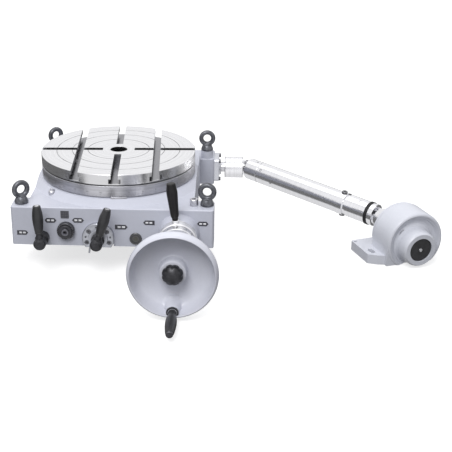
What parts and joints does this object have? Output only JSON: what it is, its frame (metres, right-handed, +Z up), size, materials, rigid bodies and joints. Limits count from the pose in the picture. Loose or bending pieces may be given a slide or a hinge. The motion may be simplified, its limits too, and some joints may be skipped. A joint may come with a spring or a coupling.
{
  "type": "rotary table",
  "caption": "Horizontal rotary table with T-slots, worm-drive handwheel, control levers, and a telescoping universal shaft to a feed gearbox.",
  "frame": {"origin": "centre of the base's underside on the table's axis", "axes": "+X to the right along the front, +Y towards the back, +Z up along the table's axis"},
  "size_m": [1.085, 0.8945, 0.2576],
  "materials": {
    "grey_paint": "semi-gloss enamel over cast iron",
    "ground_steel": "fine turned and ground",
    "dark_steel": "blackened steel",
    "black_grip": "moulded",
    "machined_steel": "machined",
    "bronze": "machined bronze",
    "black_rubber": "matt",
    "label_metal": "printed plates, blank",
    "dark_glass": "clear window in a steel rim"
  },
  "bodies": {
    "base": {"base_casting": "grey_paint", "eye_bolts": "dark_steel", "bottom_cover": "grey_paint", "thrust_race": "machined_steel", "table_journal_bush": "bronze", "index_plate": "ground_steel", "brake_pin": "machined_steel", "trip_plunger": "machined_steel", "label_plates": "label_metal", "oil_sight": "dark_glass", "oil_filler": "machined_steel", "feed_flange": "grey_paint", "base_screws": "machined_steel", "worm_bearings": "bronze", "input_flange": "grey_paint", "input_bush": "bronze", "rear_cover": "grey_paint"},
    "table": {"table_plate": "ground_steel", "graduated_ring": "ground_steel", "centre_sleeve": "ground_steel", "table_spindle": "machined_steel", "worm_wheel": "bronze", "table_screws": "machined_steel"},
    "worm": {"worm_shaft": "machined_steel", "hand_dial": "ground_steel", "handwheel": "grey_paint", "handwheel_nut": "dark_steel", "handwheel_key": "machined_steel", "crank_pin": "dark_steel", "bevel_gear_worm": "machined_steel"},
    "crank": {"crank_grip": "black_grip"},
    "clutch": {"clutch_ring": "ground_steel", "clutch_lever": "dark_steel"},
    "clamp": {"clamp_lever_hub": "dark_steel", "clamp_lever_grip": "black_grip"},
    "feed": {"feed_lever_hub": "dark_steel", "feed_lever_grip": "black_grip"},
    "selector": {"selector_dial": "ground_steel"},
    "input": {"input_shaft": "machined_steel", "bevel_gear_input": "machined_steel", "coupling_sleeve": "ground_steel", "joint_cross_1": "dark_steel"},
    "tube": {"shaft_fork": "ground_steel", "outer_tube": "ground_steel", "clamp_collar": "ground_steel", "clamp_collar_screws": "dark_steel"},
    "gearbox": {"gearbox_housing": "grey_paint", "gearbox_rear_cover": "grey_paint", "gearbox_bearings": "machined_steel", "gearbox_screws": "machined_steel", "bore_cap": "dark_steel", "filler_plug": "dark_steel"},
    "inner": {"inner_sleeve": "ground_steel", "rubber_ring": "black_rubber", "joint_cross_2": "dark_steel"},
    "gear_input": {"gearbox_input_shaft": "dark_steel", "pinion_gear": "machined_steel"},
    "output": {"drive_sleeve": "machined_steel", "drive_gear": "machined_steel"}
  },
  "joints": [
    {"name": "handwheel_spin", "type": "hinge", "parent": "base", "child": "worm", "pos_m": [0.17, 0, 0.038], "axis": [0, -1, 0], "continuous": true},
    {"name": "table_spin", "type": "hinge", "parent": "base", "child": "table", "pos_m": [0, 0, 0.15], "axis": [0, 0, 1], "continuous": true},
    {"name": "crank_spin", "type": "hinge", "parent": "worm", "child": "crank", "pos_m": [0.17, -0.52, -0.051], "axis": [0, -1, 0], "continuous": true},
    {"name": "clutch_turn", "type": "hinge", "parent": "base", "child": "clutch", "pos_m": [0.17, -0.27, 0.038], "axis": [0, -1, 0], "range_deg": [-25, 25]},
    {"name": "clamp_turn", "type": "hinge", "parent": "base", "child": "clamp", "pos_m": [-0.165, -0.24, 0.022], "axis": [0, -1, 0], "range_deg": [-25, 60]},
    {"name": "feed_turn", "type": "hinge", "parent": "base", "child": "feed", "pos_m": [-0.028, -0.24, 0.022], "axis": [0, -1, 0], "range_deg": [-35, 40]},
    {"name": "selector_turn", "type": "hinge", "parent": "base", "child": "selector", "pos_m": [-0.107, -0.24, 0.042], "axis": [0, -1, 0], "range_deg": [-45, 45]},
    {"name": "input_spin", "type": "hinge", "parent": "base", "child": "input", "pos_m": [0.26, 0.264, 0.038], "axis": [1, 0, 0], "continuous": true},
    {"name": "tube_spin", "type": "hinge", "parent": "base", "child": "tube", "pos_m": [0.3395, 0.264, 0.038], "axis": [0.7823, -0.619, -0.0699], "continuous": true},
    {"name": "gearbox_slide", "type": "slide", "parent": "base", "child": "gearbox", "axis": [0.7823, -0.619, -0.0699], "range_m": [-0.006, 0.095]},
    {"name": "inner_spin", "type": "hinge", "parent": "gearbox", "child": "inner", "pos_m": [0.69309, -0.01578, 0.00641], "axis": [0.7823, -0.619, -0.0699], "continuous": true},
    {"name": "gear_input_spin", "type": "hinge", "parent": "gearbox", "child": "gear_input", "pos_m": [0.69309, -0.01578, 0.00641], "axis": [0.3649, -0.9311, 0], "continuous": true},
    {"name": "output_spin", "type": "hinge", "parent": "gearbox", "child": "output", "pos_m": [0.75463, -0.0975, -0.022], "axis": [0.3649, -0.9311, 0], "continuous": true}
  ],
  "couplings": [
    {"joint": "table_spin", "follows": "handwheel_spin", "ratio": 0.011111},
    {"joint": "input_spin", "follows": "handwheel_spin", "ratio": -1},
    {"joint": "tube_spin", "follows": "handwheel_spin", "ratio": -1},
    {"joint": "inner_spin", "follows": "handwheel_spin", "ratio": -1},
    {"joint": "gear_input_spin", "follows": "handwheel_spin", "ratio": -1},
    {"joint": "output_spin", "follows": "handwheel_spin", "ratio": 0.66667}
  ]
}
